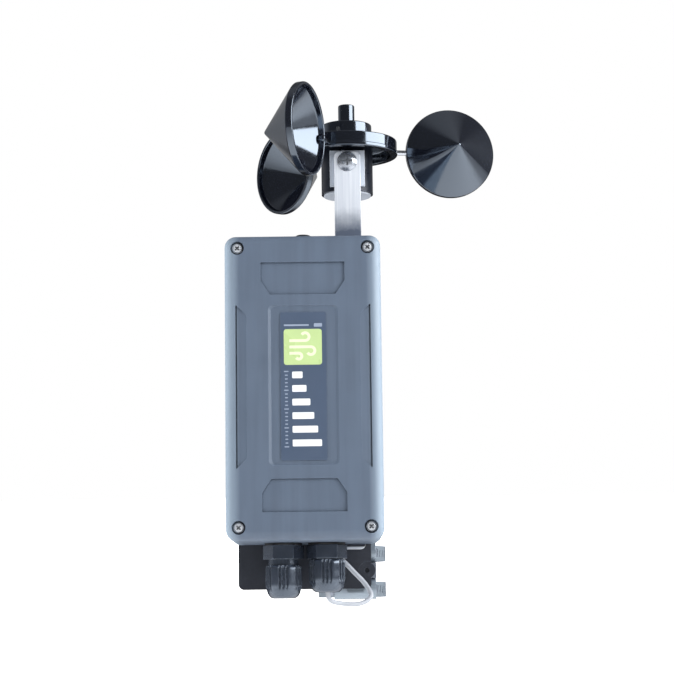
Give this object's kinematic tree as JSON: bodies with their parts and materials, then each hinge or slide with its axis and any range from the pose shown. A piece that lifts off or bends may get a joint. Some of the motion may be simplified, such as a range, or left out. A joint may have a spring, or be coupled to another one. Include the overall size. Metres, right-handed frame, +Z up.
{
  "type": "cup anemometer",
  "caption": "Wind speed sensor with conical cups on a vertical shaft, carried by a strip bracket on a sealed radio enclosure with a pole clamp behind.",
  "frame": {"origin": "on the pole's axis, midway between the two clamp bands", "axes": "+Z up along the pole and the rotor shaft, -Y out of the enclosure's lid, +X to the right seen facing the lid"},
  "size_m": [0.1539, 0.1509, 0.2901],
  "materials": {
    "rotor_plastic": "polished black moulded plastic",
    "head_anodised": "satin black anodised",
    "plate_paint": "satin black powder coat",
    "strip_aluminium": "bright brushed",
    "pad_aluminium": "milled, satin",
    "steel_bright": "bright turned steel",
    "clamp_steel": "rolled stainless band",
    "zinc_steel": "zinc plated",
    "bronze_bush": "sintered bronze",
    "nylon_white": "natural nylon",
    "cap_grey": "grey potted end cap",
    "reed_glass": "clear glass capsule",
    "magnet_nickel": "nickel plated magnet",
    "enclosure_plastic": "fine textured blue-grey polycarbonate",
    "seal_rubber": "matt black rubber",
    "label_print": "printed polyester label",
    "gland_nylon": "black glass-filled nylon",
    "board_green": "green solder mask",
    "terminal_green": "green moulded plastic",
    "cell_wrap": "shrink-wrapped steel can",
    "lead_pvc": "red insulated wire",
    "cable_pvc": "light grey cable sheath"
  },
  "bodies": {
    "mount": {"head_housing": "head_anodised", "upper_bushing": "bronze_bush", "lower_bushing": "bronze_bush", "thrust_washer": "nylon_white", "reed_switch": "reed_glass", "head_end_cap": "cap_grey", "bracket_pad": "pad_aluminium", "bracket_screw": "steel_bright", "bracket_strip": "strip_aluminium", "mounting_plate": "plate_paint", "plate_screws": "steel_bright", "plate_nuts": "zinc_steel", "plate_spacers": "zinc_steel", "enclosure_base": "enclosure_plastic", "lid_gasket": "seal_rubber", "thread_inserts": "bronze_bush", "vent_plug": "gland_nylon", "vent_locknut": "gland_nylon", "circuit_board": "board_green", "radio_module": "zinc_steel", "terminal_block": "terminal_green", "board_screws": "zinc_steel", "battery_holder": "gland_nylon", "battery_cells": "cell_wrap", "battery_contacts": "steel_bright", "battery_leads": "lead_pvc", "left_gland_body": "gland_nylon", "left_gland_nut": "gland_nylon", "left_gland_seal": "seal_rubber", "blanking_pin": "gland_nylon", "right_gland_body": "gland_nylon", "right_gland_nut": "gland_nylon", "right_gland_seal": "seal_rubber", "gland_locknuts": "gland_nylon", "gland_washers": "seal_rubber", "sensor_cable": "cable_pvc", "cable_grommet": "seal_rubber", "pole_saddle": "zinc_steel", "saddle_screws": "plate_paint", "upper_clamp_band": "clamp_steel", "lower_clamp_band": "clamp_steel", "upper_worm_housing": "clamp_steel", "lower_worm_housing": "clamp_steel"},
    "rotor": {"rotor_hub": "rotor_plastic", "right_cup": "rotor_plastic", "rear_cup": "rotor_plastic", "front_cup": "rotor_plastic", "cup_spokes": "steel_bright", "rotor_shaft": "steel_bright", "rotor_magnet": "magnet_nickel", "shaft_circlip": "zinc_steel"},
    "lid": {"enclosure_lid": "enclosure_plastic", "lid_screws": "steel_bright", "lid_label": "label_print"},
    "upper_worm": {"upper_worm_screw": "zinc_steel"},
    "lower_worm": {"lower_worm_screw": "zinc_steel"}
  },
  "joints": [
    {"name": "rotor_spin", "type": "hinge", "parent": "mount", "child": "rotor", "pos_m": [0, -0.02, 0.24], "axis": [0, 0, 1], "continuous": true},
    {"name": "lid_lift", "type": "slide", "parent": "mount", "child": "lid", "axis": [0, -1, 0], "range_m": [0, 0.06]},
    {"name": "upper_worm_turn", "type": "hinge", "parent": "mount", "child": "upper_worm", "pos_m": [0, -0.0263, 0.0101], "axis": [1, 0, 0], "continuous": true},
    {"name": "lower_worm_turn", "type": "hinge", "parent": "mount", "child": "lower_worm", "pos_m": [0, -0.0263, -0.0101], "axis": [1, 0, 0], "continuous": true}
  ]
}
